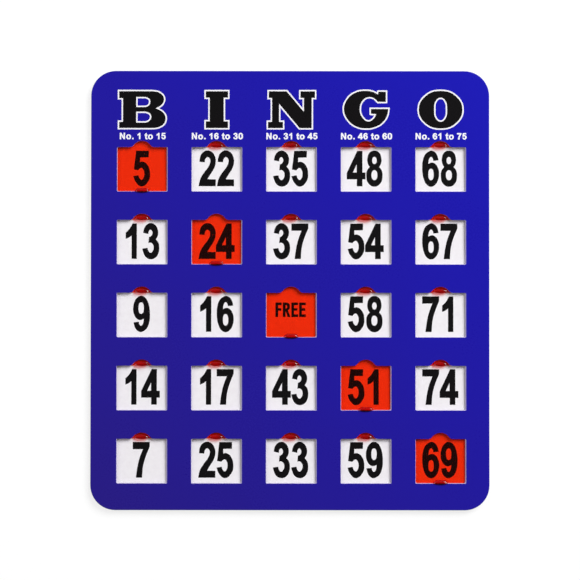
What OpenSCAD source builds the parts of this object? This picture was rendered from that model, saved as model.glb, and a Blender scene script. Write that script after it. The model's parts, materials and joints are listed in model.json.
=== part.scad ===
// Bingo card with sliding shutters.
// Five glued plies of board hold 25 red see-through shutters. A shutter slides down over its number
// to mark it, and back up through a slit, where it hides behind the number of the row above.
// The card lies on its back: +X is to the right, +Y towards the title, +Z out of the front.

/* [Card] */
// Board between the left edge and the first window
left_margin = 12.2; // [8:0.1:20]
// Board between the right edge and the last window
right_margin = 11.2; // [8:0.1:20]
// Board left above the top row's shutters when they are open
top_rim = 7.9; // [3:0.1:20]
// Board left below the bottom row's number panels
bottom_rim = 2.6; // [1.5:0.1:10]
// Radius of the card's corners
corner_r = 11.5; // [1:0.1:14]
// Thickness of the printed front cover
cover_t = 0.9; // [0.6:0.05:2]
// Thickness of the back board
back_t = 0.9; // [0.5:0.05:3]
// Thickness of the card that carries the numbers
sheet_t = 0.3; // [0.2:0.05:0.6]

/* [Windows] */
// Width of a window
window_w = 22.8; // [16:0.1:32]
// Height of a window
window_h = 20.4; // [14:0.1:28]
// Radius of a window's corners
window_r = 0.5; // [0.2:0.1:3]
// Width of the board between two columns of windows
column_bar = 11.7; // [8:0.1:20]
// Height of the board between two rows of windows
row_bar = 13.3; // [9:0.1:20]
// Radius that rounds off the two corners of a thumb notch
notch_corner_r = 2.2; // [0.3:0.1:2.5]

/* [Shutters] */
// Thickness of a shutter
film_t = 0.3; // [0.2:0.05:0.5]
// How far a shutter reaches past its window on each side
film_lap = 1.5; // [0.8:0.1:2.5]
// Radius of a shutter's corners
film_corner_r = 1.2; // [0.3:0.1:3]
// Length of a closed shutter that stays threaded in its slit
film_tail = 3; // [1:0.1:6]
// How far a closed shutter tucks under the cover, below its window
film_tuck = 0.4; // [0.3:0.05:1.2]
// Width of a shutter's tab
tab_w = 7; // [4.5:0.1:10]
// Height of a tab from its foot to its crest, along its shutter
tab_rise = 2.2; // [1.9:0.1:3]
// How far a tab's foot hangs below its shutter's edge
tab_drop = 0.35; // [0.1:0.05:0.6]
// How far a closed tab's crest stands above the cover
tab_proud = 0.5; // [0.3:0.05:1]
// Radius of a tab's two upper corners
tab_corner_r = 1.8; // [1.2:0.1:2]
// Radius of a tab's rounded rim
tab_rim_r = 1.1; // [0.6:0.05:1.2]
// Radius of a tab's bowed foot
tab_foot_r = 9; // [6:0.5:30]

/* [Clearances] */
// Gap between a shutter and the faces that it slides on
slide_gap = 0.1; // [0.05:0.01:0.25]
// Gap beside a shutter in its channel
side_gap = 0.2; // [0.1:0.05:0.5]
// Gap at the ends of a shutter's travel
stop_gap = 0.1; // [0.05:0.01:0.3]
// Gap between an open tab and the top of its notch
notch_gap = 0.95; // [0.5:0.05:1.2]
// Gap between an open tab's corners and its notch
notch_corner_gap = 0.35; // [0.1:0.05:0.45]
// Board between a notch and the slit above it
slit_above_notch = 0.5; // [0.3:0.05:1.5]
// How far a number panel is rooted in the strips beside it
panel_root = 0.4; // [0.2:0.05:1]

/* [Hidden] */
$fn = 64;
// Past a face, for a clean cut
over = 1;
// Straight steps in a notch's arcs
notch_steps = 16;
corner_steps = 4;
COLUMNS = ["b", "i", "n", "g", "o"];
ROWS = 5;
last_column = len(COLUMNS) - 1;
last_row = ROWS - 1;

// Windows and notches
column_pitch = window_w + column_bar;
row_pitch = window_h + row_bar;
notch_rise = tab_rise - tab_drop + stop_gap + notch_gap;
// Arc that clears an open tab's crest and its corners
tab_corner_x = tab_w / 2 - tab_corner_r;
tab_corner_y = tab_rise - tab_corner_r;
crest_reach = tab_corner_r + notch_gap;
corner_reach = tab_corner_r + notch_corner_gap;
notch_r = (pow(tab_corner_x, 2) + pow(crest_reach, 2) - pow(corner_reach, 2))
  / (2 * (crest_reach - corner_reach));
slit_rise = notch_rise + slit_above_notch;
// Number panel between the foot of a window and the next slit
panel_foot = row_bar - slit_rise;

// Shutters and the slope of the panels that carry them
film_w = window_w + 2 * film_lap;
film_len = film_tuck + window_h + slit_rise + film_tail;
slope = asin((sheet_t + film_t + 2 * slide_gap) / row_pitch);
closed_at = (panel_foot - film_tuck) / cos(slope);
travel = (film_tuck + window_h + stop_gap) / cos(slope);
tab_h = slide_gap + cover_t + tab_proud;
slot_w = film_w + 2 * side_gap;
channel_w = slot_w + 2 * (panel_root + side_gap);

// Plies, from the back to the front
film_crest = (slide_gap + film_t) * cos(slope) - closed_at * sin(slope);
film_depth = (closed_at + travel + film_len) * sin(slope) - slide_gap * cos(slope);
panel_depth = row_pitch * tan(slope) + sheet_t;
front_t = film_crest + slide_gap;
rear_t = max(film_depth, panel_depth) + slide_gap - sheet_t;
sheet_z = back_t + rear_t;
sheet_front = sheet_z + sheet_t;
cover_z = sheet_front + front_t;

// Outline of the card
card_w = left_margin + last_column * column_pitch + window_w + right_margin;
header = stop_gap + film_len + stop_gap + top_rim;
footer = panel_foot + bottom_rim;
card_h = footer + last_row * row_pitch + window_h + header;

// Points of an arc, without its last one
function arc(centre, r, from, to, steps) =
  [for (k = [0 : steps - 1]) let (a = from + (to - from) * k / steps) centre + r * [cos(a), sin(a)]];
function column_x(c) = -card_w / 2 + left_margin + window_w / 2 + c * column_pitch;
function window_foot(r) = -card_h / 2 + footer + (last_row - r) * row_pitch;
function slit_y(r) = window_foot(r) + window_h + slit_rise;
function shutter_name(c, r) = str("shutter_", COLUMNS[c], r + 1);
// The shutters of one diagonal are closed at rest, and the others are open
function is_open(c, r) = c != r;

PLIES = ["front_cover", "front_spacer", "number_sheet", "rear_spacer", "back_board"];

// Rectangle with round corners, from its lower left corner
module rounded_rect(w, h, r) {
  translate([r, 0]) square([w - 2 * r, h]);
  translate([0, r]) square([w, h - 2 * r]);
  for (x = [r, w - r], y = [r, h - r]) translate([x, y]) circle(r);
}

module card_outline() {
  translate([-card_w / 2, -card_h / 2]) rounded_rect(card_w, card_h, corner_r);
}

// Round notch above y = 0, with its two corners rounded off
module notch_outline() {
  drop = notch_r - notch_rise;
  corner_x = sqrt(pow(notch_r + notch_corner_r, 2) - pow(notch_corner_r + drop, 2));
  lean = atan2(notch_corner_r + drop, corner_x);
  polygon(concat(
    arc([corner_x, notch_corner_r], notch_corner_r, 270, 180 + lean, corner_steps),
    arc([0, -drop], notch_r, lean, 180 - lean, notch_steps),
    arc([-corner_x, notch_corner_r], notch_corner_r, -lean, -90, corner_steps),
    [[-corner_x, 0], [-corner_x, -drop], [corner_x, -drop]]
  ));
}

// Window with its notch, from the middle of the window's foot
module window_outline() {
  translate([-window_w / 2, 0]) rounded_rect(window_w, window_h, window_r);
  translate([0, window_h]) notch_outline();
}

// Places children at the foot of every window
module at_windows() {
  for (c = [0 : last_column], r = [0 : last_row]) translate([column_x(c), window_foot(r)]) children();
}

// Upright strip of one column, centred on it
module column_strip(c, w, low, high) {
  translate([column_x(c) - w / 2, low]) square([w, high - low]);
}

// Places children on the leaning front face of a number panel, at its lower end
module on_panel(c, r) {
  translate([column_x(c), slit_y(r + 1), sheet_front]) rotate([-slope, 0, 0]) children();
}

// Printed board with a notched window over every number
module front_cover() {
  color([0.12, 0.1, 0.63])
    translate([0, 0, cover_z]) linear_extrude(cover_t) difference() {
      card_outline();
      at_windows() window_outline();
    }
}

// Board with a pocket for every shutter, whose lower edge stops the shutter
module front_spacer() {
  pocket_foot = film_tuck + stop_gap;
  color([0.88, 0.88, 0.86])
    translate([0, 0, sheet_front]) linear_extrude(front_t) difference() {
      card_outline();
      at_windows() translate([-slot_w / 2, -pocket_foot])
        square([slot_w, pocket_foot + window_h + slit_rise]);
    }
}

// White card whose number panels lean back, so that each leaves a slit above it
module number_sheet() {
  panel_w = slot_w + 2 * panel_root;
  color([0.95, 0.95, 0.94]) {
    translate([0, 0, sheet_z]) linear_extrude(sheet_t) difference() {
      card_outline();
      for (c = [0 : last_column]) column_strip(c, slot_w, slit_y(ROWS) + panel_root, slit_y(0));
    }
    for (c = [0 : last_column], r = [0 : last_row]) on_panel(c, r)
      translate([-panel_w / 2, 0, -sheet_t]) cube([panel_w, row_pitch * cos(slope), sheet_t]);
  }
}

// Board with one long channel behind every column
module rear_spacer() {
  channel_top = window_foot(0) + window_h + stop_gap + film_len + stop_gap;
  color([0.7, 0.68, 0.64])
    translate([0, 0, back_t]) linear_extrude(rear_t) difference() {
      card_outline();
      for (c = [0 : last_column]) column_strip(c, channel_w, slit_y(ROWS) - side_gap, channel_top);
    }
}

// Plain board that closes the back
module back_board() {
  color([0.86, 0.86, 0.84]) linear_extrude(back_t) card_outline();
}

// Half section across a tab, from its crest's edge outwards
module tab_section() {
  h = film_t + tab_h;
  intersection() {
    square([tab_corner_r, h]);
    union() {
      square([tab_corner_r - tab_rim_r, h]);
      square([tab_corner_r, h - tab_rim_r]);
      translate([tab_corner_r - tab_rim_r, h - tab_rim_r]) circle(tab_rim_r);
    }
  }
}

// Tab with round corners, a rounded rim and a bowed foot, from the middle of its foot
module tab() {
  intersection() {
    translate([0, tab_corner_y, 0]) {
      translate([tab_corner_x, 0, 0]) rotate_extrude(angle = 90) tab_section();
      mirror([1, 0, 0]) translate([tab_corner_x, 0, 0]) rotate_extrude(angle = 90) tab_section();
      rotate([90, 0, 90]) linear_extrude(2 * tab_corner_x, center = true) tab_section();
      rotate([90, 0, 0]) linear_extrude(tab_corner_r) {
        translate([-tab_corner_x, 0]) square([2 * tab_corner_x, film_t + tab_h]);
        translate([tab_corner_x, 0]) tab_section();
        mirror([1, 0]) translate([tab_corner_x, 0]) tab_section();
      }
    }
    translate([0, tab_foot_r, -over]) cylinder(h = film_t + tab_h + 2 * over, r = tab_foot_r);
  }
}

// One shutter, from the middle of its lower edge on its back face.
// The tab is cut free at its foot, so that it hooks over the cover's edge.
module shutter_blank() {
  hook_h = film_t + slide_gap + cover_t + slide_gap;
  hook_len = tab_drop + film_tuck + stop_gap;
  translate([-film_w / 2, 0]) linear_extrude(film_t) rounded_rect(film_w, film_len, film_corner_r);
  translate([0, -tab_drop, 0]) difference() {
    tab();
    translate([-tab_w / 2 - over, -over, -over]) cube([tab_w + 2 * over, over + hook_len, over + hook_h]);
  }
}

module shutter(c, r) {
  color([0.93, 0.13, 0.05, 0.75])
    on_panel(c, r) translate([0, closed_at + (is_open(c, r) ? travel : 0), slide_gap]) shutter_blank();
}

front_cover();
front_spacer();
number_sheet();
rear_spacer();
back_board();
for (c = [0 : last_column], r = [0 : last_row])
  shutter(c, r);
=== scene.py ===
# Bingo card with sliding shutters, lying on its back and seen from above.
# Every piece is in metres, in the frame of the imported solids: +X right, +Y to the title, +Z out of the front.
import json
import math

import bmesh
import bpy
from mathutils import Matrix, Vector
from mathutils.geometry import tessellate_polygon


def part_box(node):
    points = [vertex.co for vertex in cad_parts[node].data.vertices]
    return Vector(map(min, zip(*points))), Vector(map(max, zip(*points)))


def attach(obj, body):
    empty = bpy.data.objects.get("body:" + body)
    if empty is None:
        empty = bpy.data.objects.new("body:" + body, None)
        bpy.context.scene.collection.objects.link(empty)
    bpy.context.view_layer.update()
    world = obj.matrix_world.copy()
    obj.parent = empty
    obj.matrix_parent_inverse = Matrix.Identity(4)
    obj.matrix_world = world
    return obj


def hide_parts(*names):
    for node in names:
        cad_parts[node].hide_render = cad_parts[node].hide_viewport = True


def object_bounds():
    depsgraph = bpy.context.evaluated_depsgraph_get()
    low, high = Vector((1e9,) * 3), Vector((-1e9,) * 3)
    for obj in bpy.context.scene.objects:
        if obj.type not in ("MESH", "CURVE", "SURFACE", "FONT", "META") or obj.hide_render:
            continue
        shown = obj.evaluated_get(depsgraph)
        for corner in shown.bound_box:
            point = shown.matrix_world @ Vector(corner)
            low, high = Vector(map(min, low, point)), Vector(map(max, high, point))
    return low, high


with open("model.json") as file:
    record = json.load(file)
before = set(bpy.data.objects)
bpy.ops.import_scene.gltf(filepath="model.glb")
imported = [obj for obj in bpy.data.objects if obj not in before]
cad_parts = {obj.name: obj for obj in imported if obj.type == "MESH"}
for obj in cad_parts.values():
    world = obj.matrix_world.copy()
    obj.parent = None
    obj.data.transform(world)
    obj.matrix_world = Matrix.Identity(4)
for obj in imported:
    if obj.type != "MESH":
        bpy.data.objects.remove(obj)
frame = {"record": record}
cad_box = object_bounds()
MM = 0.001


# Back board
# Solid paperboard lined with white paper, die cut to the card's outline and glued on last.
# It is the plain back of the card, and the face that the card lies on.
def linear(code):
    """Turns an sRGB hex colour into linear values."""
    shades = [int(code[k:k + 2], 16) / 255 for k in (1, 3, 5)]
    values = [s / 12.92 if s <= 0.04045 else ((s + 0.055) / 1.055) ** 2.4 for s in shades]
    return (*values, 1.0)


def add_node(tree, kind, inputs=None, **settings):
    """Adds a node. An input is given a value, or the socket that it is linked to."""
    node = tree.nodes.new(kind)
    for name, value in settings.items():
        setattr(node, name, value)
    for name, value in (inputs or {}).items():
        if isinstance(value, bpy.types.NodeSocket):
            tree.links.new(value, node.inputs[name])
        else:
            node.inputs[name].default_value = value
    return node


def add_ramp(tree, fac, low, high):
    """Adds a ramp between two colours, each given as its position and hex code."""
    ramp = add_node(tree, "ShaderNodeValToRGB", {"Fac": fac})
    for stop, (position, code) in zip(ramp.color_ramp.elements, (low, high)):
        stop.position = position
        stop.color = linear(code)
    return ramp.outputs["Color"]


def start_material(name):
    """Starts a material with an empty node tree."""
    material = bpy.data.materials.new(name)
    material.use_nodes = True
    material.node_tree.nodes.clear()
    return material, material.node_tree


def paperboard(name, pale, dark, fibre, layer, rough, bump):
    """Paperboard: felted fibres show as a soft mottle on the faces and as thin layers on the cut edges.

    The size of the fibres, the height of a layer and the depth of the bumps are in millimetres.
    """
    material, tree = start_material(name)
    place = add_node(tree, "ShaderNodeTexCoord").outputs["Object"]
    squeezed = add_node(tree, "ShaderNodeMapping", {
        "Vector": place,
        "Scale": (1 / (fibre * MM), 1 / (fibre * MM), 1 / (layer * MM)),
    })
    felt = add_node(tree, "ShaderNodeTexNoise", {
        "Vector": squeezed.outputs["Vector"],
        "Scale": 1.0,
        "Detail": 4.0,
        "Roughness": 0.65,
    }).outputs["Fac"]
    gloss = add_node(tree, "ShaderNodeMapRange", {
        "Value": felt,
        "To Min": rough - 0.06,
        "To Max": rough + 0.06,
    })
    relief = add_node(tree, "ShaderNodeBump", {"Height": felt, "Strength": 0.6, "Distance": bump * MM})
    board = add_node(tree, "ShaderNodeBsdfPrincipled", {
        "Base Color": add_ramp(tree, felt, (0.25, dark), (0.7, pale)),
        "Roughness": gloss.outputs["Result"],
        "IOR": 1.5,
        "Specular IOR Level": 0.25,
        "Normal": relief.outputs["Normal"],
    })
    add_node(tree, "ShaderNodeOutputMaterial", {"Surface": board.outputs["BSDF"]})
    return material


def dress(node, material):
    """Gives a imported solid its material."""
    mesh = bpy.data.objects[node].data
    mesh.materials.clear()
    mesh.materials.append(material)


# White lined board: a matt, slightly warm white with a faint fibre mottle
white_lined_board = paperboard("white_lined_board", "#EDEBE6", "#E0DDD6",
                               fibre=1.4, layer=0.16, rough=0.62, bump=0.02)
dress("back_board", white_lined_board)


# Rear spacer
# Solid grey paperboard with one long channel punched behind every column.
# The shutters that are open hide in these channels, so only the outer edge shows.
grey_board = paperboard("grey_board", "#CFCAC1", "#B4AEA4",
                        fibre=1.1, layer=0.14, rough=0.75, bump=0.03)
dress("rear_spacer", grey_board)


# Number sheet
# Smooth coated white card with a slit above every number, so that each number's panel leans back.
# It is printed with the numbers in black before it is slit.
coated_card = paperboard("coated_card", "#F3F0F3", "#ECE8EC",
                         fibre=2.5, layer=0.12, rough=0.42, bump=0.006)
dress("number_sheet", coated_card)

COLUMNS = "BINGO"
NUMBERS = [
    ["5", "22", "35", "48", "68"],
    ["13", "24", "37", "54", "67"],
    ["9", "16", "FREE", "58", "71"],
    ["14", "17", "43", "51", "74"],
    ["7", "25", "33", "59", "69"],
]
ROWS = len(NUMBERS)

# Digits are drawn in hundredths of their height, in cells of one width.
# A point in round brackets is a corner, and one in square brackets lies on a smooth curve.
CELL = 51
DIGITS = {
    "0": [
        [[25.5, 100], [40, 92], [47.5, 72], [48.5, 50], [47.5, 28], [40, 8],
         [25.5, 0], [11, 8], [3.5, 28], [2.5, 50], [3.5, 72], [11, 92]],
        [[25.5, 83], [32, 74], [34, 50], [32, 26], [25.5, 17], [19, 26], [17, 50], [19, 74]],
    ],
    "1": [
        [(26, 99), (37, 99), (37, 1), (23.5, 1), (23.5, 67), [16, 61], (7, 57), (7, 73.5), [17, 83.5]],
    ],
    "2": [
        [(4.5, 69), [7.5, 85.5], [15.5, 96], [25.5, 100], [38.5, 95.5], [46.5, 84], [49, 68.5], [44, 50],
         [33.5, 33], (25.5, 19.5), (49, 19), (49, 1), (2.5, 1), [7.5, 22], [17, 38], [29.5, 55],
         [34.5, 68], [33.5, 77], [26.5, 82.5], [20, 77], (18, 68)],
    ],
    "3": [
        [(4.5, 73.5), [8, 87], [15, 96], [25, 100], [37.5, 94.5], [44, 83.5], [45.5, 72], [43, 62],
         (38.5, 55), [45.5, 46.5], [48.5, 33.5], [46.5, 17], [38.5, 4.5], [24.5, 0], [11.5, 6.5],
         [5, 19], (2.5, 28.5), (16, 30.5), [18.5, 22.5], [25, 17], [31.5, 22.5], [34, 33.5], [31, 42.5],
         [24.5, 46.5], (19.5, 45.5), (21, 61), [24.5, 62.5], [29.5, 68], [30.5, 74.5], [28, 80.5],
         [24, 82.5], [19.5, 78.5], (18, 70.5)],
    ],
    "4": [
        [(29, 99), (42.5, 99), (42.5, 38.5), (51, 38.5), (51, 20.5), (42.5, 20.5), (42.5, 1), (28, 1),
         (28, 20.5), (0, 20.5), (0, 38)],
        [(27.5, 64.5), (15.5, 38.5), (27.5, 38.5)],
    ],
    "5": [
        [(10, 99), (44.5, 99), (44, 81.5), (20, 81), (20, 67), [27.5, 68.5], [40.5, 60], [48, 34.5],
         [43, 13.5], [25, 0], [9.5, 11.5], (2.5, 28), (15.5, 30.5), [19.5, 21], [25, 17.5], [31, 24],
         [33, 35], [31, 45.5], [25, 52], [19.5, 50], (15, 45.5), (4, 47.5)],
    ],
    "7": [
        [(2.5, 99), (48.5, 99), (48.5, 86.5), [36.5, 56], [30, 30.5], (27.5, 1), (11.5, 1), [16.5, 35],
         [22.5, 58], (31, 80), (2.5, 80)],
    ],
    "8": [
        [[25.5, 100], [38, 95], [44.5, 78.5], [43, 63.5], (38, 54.5), [45, 45.5], [47.5, 30], [42, 9],
         [25.5, 0], [9, 9], [3.5, 30], [6, 45.5], (13, 54.5), [8, 63.5], [6.5, 78.5], [13, 95]],
        [[25.5, 83.5], [32.5, 73], [25.5, 62], [18.5, 73]],
        [[25.5, 46.5], [34.5, 32], [25.5, 17], [16.5, 32]],
    ],
    "9": [
        [(4, 26), (17.5, 27.5), [19, 21], [24, 16.5], [29.5, 21.5], (32.5, 37.5), [22.5, 33.5], [13, 37],
         [5.5, 48], [2.5, 63], [5, 80], [12, 93.5], [24, 100], [35, 95.5], [44, 80], [48, 59.5], [48.5, 47],
         [47, 29], [40.5, 11], [31.5, 3], [23, 0], [14, 4], [7.5, 13]],
        [[24.5, 83], [32.5, 66], [24.5, 49.5], [16.5, 66]],
    ],
}


def placed(lines, x=0, y=0, wide=1, tall=1):
    """Outlines stretched and then moved. A corner stays a corner, and a point on a curve stays one."""
    return [[type(point)((point[0] * wide + x, point[1] * tall + y)) for point in line] for line in lines]


# A six is a nine turned half round
DIGITS["6"] = placed(DIGITS["9"], CELL, 100, -1, -1)

# Capitals of the middle square, in hundredths of their height, each with its advance
CAPITAL_GAP = 12
CAPITALS = {
    "F": (53, [
        [(0, 0), (0, 100), (40, 100), (40, 85), (15, 85), (15, 59), (37, 59), (37, 45), (15, 45), (15, 0)],
    ]),
    "R": (61, [
        [(0, 0), (0, 100), (25, 100), [41, 92], [46, 73], [43, 57], [34, 49], (32, 46), (50, 0), (34, 0),
         (19, 43), (15, 43), (15, 0)],
        [(15, 86), (23, 86), [29.5, 80], [30.5, 72], [29, 62], (23, 57), (15, 57)],
    ]),
    "E": (56, [
        [(0, 0), (0, 100), (43, 100), (43, 85), (15, 85), (15, 59), (39, 59), (39, 45), (15, 45), (15, 15),
         (44, 15), (44, 0)],
    ]),
}


def word_lines(marks, height):
    """Outlines of a row of marks around the middle of its foot, in millimetres.

    A mark is its advance and its outlines, in hundredths of the height.
    """
    x = 0
    lines = []
    for advance, shape in marks:
        lines += placed(shape, x)
        x += advance
    unit = height / 100
    return placed(lines, -x / 2 * unit, 0, unit, unit)


def print_lines(target, lines, place, thickness, grow=0.0):
    """Adds printed marks to a mesh: outlines in millimetres, filled and laid on the plane of place."""
    curve = bpy.data.curves.new("print_outline", "CURVE")
    curve.dimensions = "2D"
    curve.fill_mode = "BOTH"
    curve.resolution_u = 5
    curve.extrude = thickness / 2
    curve.offset = grow
    for line in lines:
        spline = curve.splines.new("BEZIER")
        spline.bezier_points.add(len(line) - 1)
        spline.use_cyclic_u = True
        for knot, point in zip(spline.bezier_points, line):
            knot.co = (point[0], point[1], 0)
            kind = "AUTO" if isinstance(point, list) else "VECTOR"
            knot.handle_left_type = kind
            knot.handle_right_type = kind
    holder = bpy.data.objects.new("print_outline", curve)
    mesh = bpy.data.meshes.new_from_object(holder)
    mesh.transform(place @ Matrix.Scale(MM, 4))
    target.from_mesh(mesh)
    bpy.data.objects.remove(holder)
    bpy.data.curves.remove(curve)
    bpy.data.meshes.remove(mesh)


def finish_piece(name, shape, materials):
    """Makes a piece of a mesh, which rides on the card."""
    weld = 0.0005
    bmesh.ops.remove_doubles(shape, verts=shape.verts, dist=weld * MM)
    bmesh.ops.recalc_face_normals(shape, faces=shape.faces)
    mesh = bpy.data.meshes.new(name)
    shape.to_mesh(mesh)
    shape.free()
    for material in materials:
        mesh.materials.append(material)
    piece = bpy.data.objects.new(name, mesh)
    bpy.context.scene.collection.objects.link(piece)
    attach(piece, "card")
    return piece


def printing_ink(name, pale, dark):
    """Offset ink: an even satin film, with the paper's grain just showing in its tone."""
    material, tree = start_material(name)
    grain_size = 0.5
    grain = add_node(tree, "ShaderNodeTexNoise", {
        "Vector": add_node(tree, "ShaderNodeTexCoord").outputs["Object"],
        "Scale": 1 / (grain_size * MM),
        "Detail": 3.0,
    }).outputs["Fac"]
    gloss = add_node(tree, "ShaderNodeMapRange", {"Value": grain, "To Min": 0.2, "To Max": 0.27})
    relief = add_node(tree, "ShaderNodeBump", {"Height": grain, "Strength": 0.3, "Distance": 0.004 * MM})
    ink = add_node(tree, "ShaderNodeBsdfPrincipled", {
        "Base Color": add_ramp(tree, grain, (0.3, dark), (0.7, pale)),
        "Roughness": gloss.outputs["Result"],
        "IOR": 1.5,
        "Specular IOR Level": 0.2,
        "Normal": relief.outputs["Normal"],
    })
    add_node(tree, "ShaderNodeOutputMaterial", {"Surface": ink.outputs["BSDF"]})
    return material


# Black offset ink: near black, slightly paler where the grain shows
black_ink = printing_ink("black_offset_ink", "#131113", "#0D0C0D")

ink_t = 0.02
window_w = 22.8
window_h = 20.4
row_pitch = 33.7
panel_foot = 9.9
footer = 12.5
number_h = 16.6
number_rise = 2.3
number_shift = -0.2
number_bold = 0.1
free_h = 6.45
free_rise = 9.35
free_bold = 0.14
card_foot = cad_box[0][1] / MM
sheet_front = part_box("number_sheet")[1][2] / MM
slide_axis = frame["record"]["behaviour"]["joints"][0]["axis"]
slope = math.atan2(slide_axis[2], -slide_axis[1])


def column_x(c):
    """Middle of a column, from the shutter that slides there."""
    low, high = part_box(f"shutter_{COLUMNS[c].lower()}1")
    return (low[0] + high[0]) / 2 / MM


def window_foot(r):
    return card_foot + footer + (ROWS - 1 - r) * row_pitch


numbers = bmesh.new()
for r, row in enumerate(NUMBERS):
    panel_corner = Vector((0, window_foot(r) - panel_foot, sheet_front)) * MM
    panel = Matrix.Translation(panel_corner) @ Matrix.Rotation(-slope, 4, "X")
    for c, word in enumerate(row):
        x = column_x(c) + number_shift
        if word == "FREE":
            capitals = [CAPITALS[mark] for mark in word]
            marks = [(advance, placed(shape, CAPITAL_GAP / 2)) for advance, shape in capitals]
            lines = placed(word_lines(marks, free_h), x, panel_foot + free_rise)
            print_lines(numbers, lines, panel, ink_t, free_bold)
        else:
            marks = [(CELL, DIGITS[mark]) for mark in word]
            lines = placed(word_lines(marks, number_h), x, panel_foot + number_rise)
            print_lines(numbers, lines, panel, ink_t, number_bold)
finish_piece("printed_numbers", numbers, [black_ink])


# Front spacer
# Thin white paperboard with a pocket for every shutter, glued between the number sheet and the cover.
# The lower edge of a pocket stops its shutter.
white_board = paperboard("white_board", "#E9E7E2", "#D8D5CE",
                         fibre=1.2, layer=0.1, rough=0.7, bump=0.02)
dress("front_spacer", white_board)


# Front cover
# White paperboard, printed blue, laminated and die cut from the front, a notched window over every number.
# The cutter rolls the printed face over the outer rim, and leaves pale slopes at a window's sides and foot.
cover_low, cover_high = [Vector(corner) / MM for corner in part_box("front_cover")]
corner_r = 11.5
window_r = 0.5
notch_r = 4.85833
notch_rise = 2.9
notch_corner_r = 2.2
rim_roll = 0.3
slope_left = 0.18
slope_right = 0.46
slope_foot = 0.2
slope_d = 0.7
CORNER_STEPS = 6
NOTCH_STEPS = 18
RIM_STEPS = 4


def arc(centre, r, start, end, steps):
    """Points of an arc, with both of its ends."""
    angles = [math.radians(start + (end - start) * k / steps) for k in range(steps + 1)]
    return [(centre[0] + r * math.cos(a), centre[1] + r * math.sin(a)) for a in angles]


def card_line(inset):
    """The card's outline, moved inwards."""
    x, y = cover_high.x - corner_r, cover_high.y - corner_r
    r = corner_r - inset
    steps = 2 * CORNER_STEPS
    return (arc((x, -y), r, -90, 0, steps) + arc((x, y), r, 0, 90, steps)
            + arc((-x, y), r, 90, 180, steps) + arc((-x, -y), r, 180, 270, steps))


def window_line(left, right, foot):
    """A window with its thumb notch, from the middle of its foot, with its sides and foot moved outwards."""
    x0 = -window_w / 2 + window_r - left
    x1 = window_w / 2 - window_r + right
    y0 = window_r - foot
    y1 = window_h - window_r
    drop = notch_r - notch_rise
    notch_x = math.sqrt((notch_r + notch_corner_r) ** 2 - (notch_corner_r + drop) ** 2)
    lean = math.degrees(math.atan2(notch_corner_r + drop, notch_x))
    corner_y = window_h + notch_corner_r
    return (arc((x0, y0), window_r, 180, 270, CORNER_STEPS) + arc((x1, y0), window_r, -90, 0, CORNER_STEPS)
            + arc((x1, y1), window_r, 0, 90, CORNER_STEPS)
            + arc((notch_x, corner_y), notch_corner_r, 270, 180 + lean, CORNER_STEPS)
            + arc((0, window_h - drop), notch_r, lean, 180 - lean, NOTCH_STEPS)[1:-1]
            + arc((-notch_x, corner_y), notch_corner_r, -lean, -90, CORNER_STEPS)
            + arc((x0, y1), window_r, 90, 180, CORNER_STEPS))


def add_loop(shape, points, z):
    return [shape.verts.new((x * MM, y * MM, z * MM)) for x, y in points]


def bridge(shape, lower, upper, material, smooth):
    """Joins two loops of the same count with a band of faces."""
    for k in range(len(lower)):
        after = (k + 1) % len(lower)
        face = shape.faces.new((lower[k], lower[after], upper[after], upper[k]))
        face.material_index = material
        face.smooth = smooth


def fill_between(shape, loops, material):
    """Fills the flat board between the outer loop and the windows."""
    corners = [vert for loop in loops for vert in loop]
    for triangle in tessellate_polygon([[vert.co for vert in loop] for loop in loops]):
        face = shape.faces.new([corners[k] for k in triangle])
        face.material_index = material


PRINT, CORE = 0, 1
cover = bmesh.new()
front_loops = []
back_loops = []
rim = [(0, cover_low.z)]
for k in range(RIM_STEPS + 1):
    turn = math.radians(90 * k / RIM_STEPS)
    rim.append((rim_roll * (1 - math.cos(turn)), cover_high.z - rim_roll * (1 - math.sin(turn))))
rim_loops = [add_loop(cover, card_line(inset), z) for inset, z in rim]
for k in range(len(rim_loops) - 1):
    bridge(cover, rim_loops[k], rim_loops[k + 1], CORE if k == 0 else PRINT, k > 0)
back_loops.append(rim_loops[0])
front_loops.append(rim_loops[-1])
straight = window_line(0, 0, 0)
sloped = window_line(slope_left, slope_right, slope_foot)
walls = [(straight, cover_low.z), (straight, cover_high.z - slope_d), (sloped, cover_high.z)]
for c in range(len(COLUMNS)):
    middle = column_x(c)
    for r in range(ROWS):
        foot = window_foot(r)
        loops = []
        for line, z in walls:
            loops.append(add_loop(cover, [(x + middle, y + foot) for x, y in line], z))
        for k in range(len(loops) - 1):
            bridge(cover, loops[k], loops[k + 1], CORE, False)
        back_loops.append(loops[0])
        front_loops.append(loops[-1])
fill_between(cover, front_loops, PRINT)
fill_between(cover, back_loops, CORE)

# Blue offset print under a satin film: a deep blue whose soft gloss wavers with the board below.
# The colour also carries painted light: a greyer, duller blue at the lower left and a brighter blue to the
# upper right, towards the lamp.
print_blue, tree = start_material("blue_laminate")
place = add_node(tree, "ShaderNodeTexCoord").outputs["Object"]
cloud_size = 45
cloud = add_node(tree, "ShaderNodeTexNoise", {
    "Vector": place,
    "Scale": 1 / (cloud_size * MM),
    "Detail": 2.0,
}).outputs["Fac"]
peel_size = 0.9
peel = add_node(tree, "ShaderNodeTexNoise", {
    "Vector": place,
    "Scale": 1 / (peel_size * MM),
    "Detail": 3.0,
}).outputs["Fac"]
peel_share = 0.35
both = add_node(tree, "ShaderNodeMix", {0: peel_share, 2: cloud, 3: peel}, data_type="FLOAT").outputs[0]
across = add_node(tree, "ShaderNodeSeparateXYZ", {0: place}).outputs
# Painted light: the tone runs along the diagonal, from the lower left to the upper right where the lamp is
corner = cover_high.x + cover_high.y
painted_light_diagonal = add_node(tree, "ShaderNodeMath", {0: across["X"], 1: across["Y"]}, operation="ADD")
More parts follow.
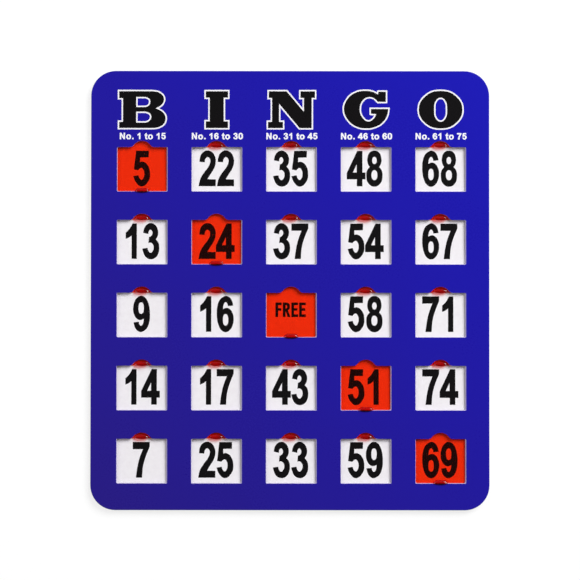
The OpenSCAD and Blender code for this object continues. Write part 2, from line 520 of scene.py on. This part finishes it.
tone = add_node(tree, "ShaderNodeMapRange", {
    "Value": painted_light_diagonal.outputs["Value"],
    "From Min": -corner * MM,
    "From Max": corner * MM,
}).outputs["Result"]
mottle_share = 0.15
tone = add_node(tree, "ShaderNodeMix", {0: mottle_share, 2: tone, 3: both}, data_type="FLOAT").outputs[0]
gloss = add_node(tree, "ShaderNodeMapRange", {"Value": both, "To Min": 0.24, "To Max": 0.32})
relief = add_node(tree, "ShaderNodeBump", {"Height": peel, "Strength": 0.35, "Distance": 0.01 * MM})
laminate = add_node(tree, "ShaderNodeBsdfPrincipled", {
    # The ramp goes from the painted dull lower left to the painted bright upper right, with a little mottle of
    # the print
    "Base Color": add_ramp(tree, tone, (0.08, "#281B84"), (0.92, "#1411B1")),
    "Roughness": gloss.outputs["Result"],
    "IOR": 1.5,
    "Specular IOR Level": 0.2,
    "Normal": relief.outputs["Normal"],
})
add_node(tree, "ShaderNodeOutputMaterial", {"Surface": laminate.outputs["BSDF"]})

# Cut paperboard core: bare fibres packed in layers, slightly rough and smeared lilac by the blue ink
board_core = paperboard("board_core", "#CFC6E6", "#B7ADD6",
                        fibre=0.8, layer=0.12, rough=0.7, bump=0.015)
front_cover = finish_piece("printed_cover", cover, [print_blue, board_core])
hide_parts("front_cover")


# Lettering of the cover
# Column letters in black with a white edge, and each column's range of numbers in white below its letter.
# Each is a thin layer of ink on the cover, and sits a little right of its column.
LETTERS = {
    "B": [
        [(0, 0), (0, 2.85), (1.8, 2.85), (1.8, 13.85), (0, 13.85), (0, 17.05), (15.6, 17.05), [18.5, 16.4],
         [20.7, 13.9], [20, 11.2], (16.9, 9.1), [18.9, 8.2], [20.9, 6.5], [21.5, 4.4], [20.7, 2], [18.5, 0.5],
         (16, 0)],
        [(7.9, 14.4), (12.3, 14.4), [14.1, 13.4], [14.4, 12], [13.7, 10.4], (12.2, 9.7), (7.9, 9.7)],
        [(7.9, 7.6), (12.4, 7.6), [14.3, 6.7], [14.9, 5.1], [14.1, 3.4], (12.5, 2.5), (7.9, 2.5)],
    ],
    "I": [
        [(0, 0), (0, 3.1), (1.8, 3.1), (1.8, 14.1), (0, 14.1), (0, 17.05), (10.3, 17.05), (10.3, 14.1),
         (8.3, 14.1), (8.3, 3.1), (10.3, 3.1), (10.3, 0)],
    ],
    "N": [
        [(0, 0), (0, 2.9), (1.85, 2.9), (1.85, 14), (0.35, 14), (0.35, 17.05), (8.6, 17.05), (16.6, 7.5),
         (16.6, 14), (15, 14), (15, 17.05), (21.7, 17.05), (21.7, 14), (20.2, 14), (20.2, 0), (14.6, 0),
         (5.1, 11.3), (5.1, 2.9), (6.9, 2.9), (6.9, 0)],
    ],
    "G": [
        [(20.5, 8.9), [20, 5.9], [17.6, 2.4], [14.2, 0.5], [10.6, -0.1], [5.9, 0.7], [2, 3.7], [0, 8.7],
         [1.8, 13.7], [5.5, 16.5], [10.3, 17.3], [13.4, 16.8], (15.8, 15.6), (16, 16.9), (19.4, 16.9),
         (19.4, 12.2), (15.7, 12.2), [13.9, 13.9], [11.5, 14.4], [8.9, 13.1], [7.3, 8.8], [8.8, 4.6],
         [11.2, 3.1], [13.7, 4.3], (15, 6.5), (12.5, 6.7), (12.5, 8.9)],
    ],
    "O": [
        [[10.1, 17.3], [17.2, 14.8], [20.2, 8.6], [17.2, 2.4], [10.1, -0.1], [3, 2.4], [0, 8.6], [3, 14.8]],
        [[10.1, 14.2], [12.4, 12.6], [13.1, 8.6], [12.4, 4.6], [10.1, 3], [7.8, 4.6], [7.1, 8.6],
         [7.8, 12.6]],
    ],
}
# Small letters of the range labels, in hundredths of a capital's height, each with its advance
SMALL = {
    "N": (104, [[(10, 0), (10, 100), (31, 100), (70, 34), (70, 100), (90, 100), (90, 0), (69, 0), (30, 66),
                 (30, 0)]]),
    "o": (89, [
        [[43, 75], [70, 65], [81, 37], [70, 9], [43, -2], [16, 9], [5, 37], [16, 65]],
        [[43, 58], [55, 52], [59, 37], [55, 21], [43, 15], [31, 21], [27, 37], [31, 52]],
    ]),
    "t": (50, [[(13, 88), (33, 100), (33, 73), (47, 73), (47, 57), (33, 57), [33, 26], [36, 16], (48, 15),
                (48, 0), [34, -2], [19, 3], [13, 20], (13, 57), (2, 57), (2, 73), (13, 73)]]),
    ".": (42, [[(10, 0), (10, 21), (31, 21), (31, 0)]]),
    " ": (40, []),
}
RANGES = ["No. 1 to 15", "No. 16 to 30", "No. 31 to 45", "No. 46 to 60", "No. 61 to 75"]
digit_stretch = 1.5
label_gap = 4.5
label_h = 2.95
label_y = 69.8
letter_y = 75.0
print_shift = 0.1
label_shift = 0.2
label_bold = 0.04
white_edge = 0.65

# The labels' digits are those of the numbers, stretched
digit_advance = CELL * digit_stretch + label_gap
SMALL.update({digit: (digit_advance, placed(shape, wide=digit_stretch)) for digit, shape in DIGITS.items()})

letters = []
labels = []
for c, letter in enumerate(COLUMNS):
    middle = column_x(c) + print_shift
    reach = max(point[0] for point in LETTERS[letter][0])
    letters += placed(LETTERS[letter], middle - reach / 2, letter_y)
    marks = [SMALL[mark] for mark in RANGES[c]]
    labels += placed(word_lines(marks, label_h), middle + label_shift, label_y)


def on_cover(z):
    return Matrix.Translation(Vector((0, 0, cover_high.z + z)) * MM)


# White offset ink: a clean cool white
white_ink = printing_ink("white_offset_ink", "#FBFAFD", "#F4F2F7")
white_print = bmesh.new()
print_lines(white_print, letters, on_cover(0), ink_t, white_edge)
print_lines(white_print, labels, on_cover(0), ink_t, label_bold)
finish_piece("white_lettering", white_print, [white_ink])
black_print = bmesh.new()
print_lines(black_print, letters, on_cover(ink_t), ink_t)
finish_piece("column_letters", black_print, [black_ink])


# Shutters
# Clear red plastic, moulded as a thin slide with a solid raised tab at its foot, one behind every window.
# A closed one lies on its number, and an open one hides behind the number above, with its tab in the notch.
tab_from = 0.45
tab_full = 0.8
# Clear red plastic: a glossy slide, clear scarlet where it is thin, and dark red in the tab, whose base colour
# is darkened partly for its thickness and partly as painted shade
red_clear, tree = start_material("clear_red_plastic")
place = add_node(tree, "ShaderNodeTexCoord").outputs["Object"]
ripple_size = 4
ripple = add_node(tree, "ShaderNodeTexNoise", {
    "Vector": place,
    "Scale": 1 / (ripple_size * MM),
    "Detail": 2.0,
}).outputs["Fac"]
along = add_node(tree, "ShaderNodeSeparateXYZ", {0: place}).outputs
# Height above the leaning number panel, which starts anew in every row
up_panel = add_node(tree, "ShaderNodeMath", {
    0: add_node(tree, "ShaderNodeMath", {
        0: along["Y"],
        1: (window_foot(0) - panel_foot) * MM,
    }, operation="SUBTRACT").outputs["Value"],
    1: row_pitch * MM,
}, operation="FLOORED_MODULO").outputs["Value"]
raised = add_node(tree, "ShaderNodeMath", {
    0: up_panel,
    1: math.tan(slope),
    2: along["Z"],
}, operation="MULTIPLY_ADD").outputs["Value"]
depth = add_node(tree, "ShaderNodeMapRange", {
    "Value": raised,
    "From Min": (sheet_front + tab_from) * MM,
    "From Max": (sheet_front + tab_full) * MM,
}).outputs["Result"]
gloss = add_node(tree, "ShaderNodeMapRange", {"Value": ripple, "To Min": 0.06, "To Max": 0.14})
relief = add_node(tree, "ShaderNodeBump", {"Height": ripple, "Strength": 0.3, "Distance": 0.03 * MM})
film = add_node(tree, "ShaderNodeBsdfPrincipled", {
    # Painted shade, in part: the tab's base colour turns dark red, darker than its thickness alone would make
    # it
    "Base Color": add_ramp(tree, depth, (0.0, "#FFFFFF"), (1.0, "#B03030")),
    "Roughness": gloss.outputs["Result"],
    "IOR": 1.5,
    "Transmission Weight": 1.0,
    "Normal": relief.outputs["Normal"],
})
# Light for the number below passes straight through the thin slide, and less of it through the tab.
# The red comes from the thickness.
through = add_node(tree, "ShaderNodeBsdfTransparent", {
    "Color": add_ramp(tree, depth, (0.0, "#FFFFFF"), (1.0, "#E2B0B0")),
})
path = add_node(tree, "ShaderNodeLightPath").outputs
faces = add_node(tree, "ShaderNodeMixShader", {
    0: path["Is Diffuse Ray"],
    1: film.outputs["BSDF"],
    2: through.outputs["BSDF"],
})
faces = add_node(tree, "ShaderNodeMixShader", {
    0: path["Is Shadow Ray"],
    1: faces.outputs["Shader"],
    2: through.outputs["BSDF"],
})
tint = add_node(tree, "ShaderNodeVolumeAbsorption", {"Color": linear("#FFB11C"), "Density": 8.8 / MM})
add_node(tree, "ShaderNodeOutputMaterial", {
    "Surface": faces.outputs["Shader"],
    "Volume": tint.outputs["Volume"],
})
for letter in COLUMNS.lower():
    for r in range(ROWS):
        dress(f"shutter_{letter}{r + 1}", red_clear)


# Studio
# A plain white floor, a large soft lamp from the upper right, a weak one from the left, and a dim pale room.
floor_size = 8.0
floor_z = -0.00005
floor_mesh = bpy.data.meshes.new("floor")
half = floor_size / 2
floor_corners = [(-half, -half, 0), (half, -half, 0), (half, half, 0), (-half, half, 0)]
floor_mesh.from_pydata(floor_corners, [], [(0, 1, 2, 3)])
floor = bpy.data.objects.new("floor", floor_mesh)
floor.location.z = floor_z
bpy.context.scene.collection.objects.link(floor)
floor_white, tree = start_material("white_paper_floor")
path = add_node(tree, "ShaderNodeLightPath").outputs
shown = add_node(tree, "ShaderNodeMath", {
    0: path["Is Camera Ray"],
    1: path["Is Glossy Ray"],
}, operation="MAXIMUM")
shown = add_node(tree, "ShaderNodeMath", {
    0: shown.outputs["Value"],
    1: path["Is Transmission Ray"],
}, operation="MAXIMUM")
lit = add_node(tree, "ShaderNodeBsdfDiffuse", {"Color": linear("#8C8C8C")})
glow = add_node(tree, "ShaderNodeEmission", {"Color": (1, 1, 1, 1), "Strength": 0.76})
both = add_node(tree, "ShaderNodeAddShader", {0: lit.outputs["BSDF"], 1: glow.outputs["Emission"]})
plain = add_node(tree, "ShaderNodeBsdfDiffuse", {"Color": linear("#E0E0E0")})
surface = add_node(tree, "ShaderNodeMixShader", {
    0: shown.outputs["Value"],
    1: plain.outputs["BSDF"],
    2: both.outputs["Shader"],
})
add_node(tree, "ShaderNodeOutputMaterial", {"Surface": surface.outputs["Shader"]})
floor_mesh.materials.append(floor_white)

# Room: pale at eye level and dim overhead, so that the gloss of the card stays deep from above
world = bpy.data.worlds.new("room")
world.use_nodes = True
tree = world.node_tree
tree.nodes.clear()
toward = add_node(tree, "ShaderNodeTexCoord").outputs["Generated"]
height = add_node(tree, "ShaderNodeSeparateXYZ", {0: toward}).outputs["Z"]
level = add_node(tree, "ShaderNodeMapRange", {
    "Value": height,
    "From Min": 0.0,
    "From Max": 1.0,
    "To Min": 0.55,
    "To Max": 0.06,
}).outputs["Result"]
background = add_node(tree, "ShaderNodeBackground", {"Color": (1, 1, 1, 1), "Strength": level})
add_node(tree, "ShaderNodeOutputWorld", {"Surface": background.outputs["Background"]})
bpy.context.scene.world = world


def add_lamp(name, place, size, watts):
    """A square soft lamp that faces the card."""
    light = bpy.data.lights.new(name, "AREA")
    light.shape = "SQUARE"
    light.size = size
    light.energy = watts
    lamp = bpy.data.objects.new(name, light)
    lamp.location = place
    lamp.rotation_euler = (-Vector(place)).to_track_quat("-Z", "Y").to_euler()
    bpy.context.scene.collection.objects.link(lamp)


add_lamp("key_lamp", place=(1.1, 1.15, 1.65), size=1.3, watts=54)
add_lamp("fill_lamp", place=(-1.3, 0.3, 1.3), size=0.9, watts=6)

# Camera above the card, leaning a little to its foot
camera_far = 1.0
camera_lean = math.radians(1.1)
camera_roll = math.radians(0.05)
aim = Vector((0, 0.1 * MM, 3 * MM))
camera_data = bpy.data.cameras.new("camera")
camera_data.sensor_width = 36
camera_data.lens = 134.3
camera = bpy.data.objects.new("camera", camera_data)
camera.location = aim + camera_far * Vector((0, -math.sin(camera_lean), math.cos(camera_lean)))
camera.rotation_euler = (camera_lean, 0, camera_roll)
bpy.context.scene.collection.objects.link(camera)
bpy.context.scene.camera = camera
bpy.context.scene.view_settings.view_transform = "Standard"
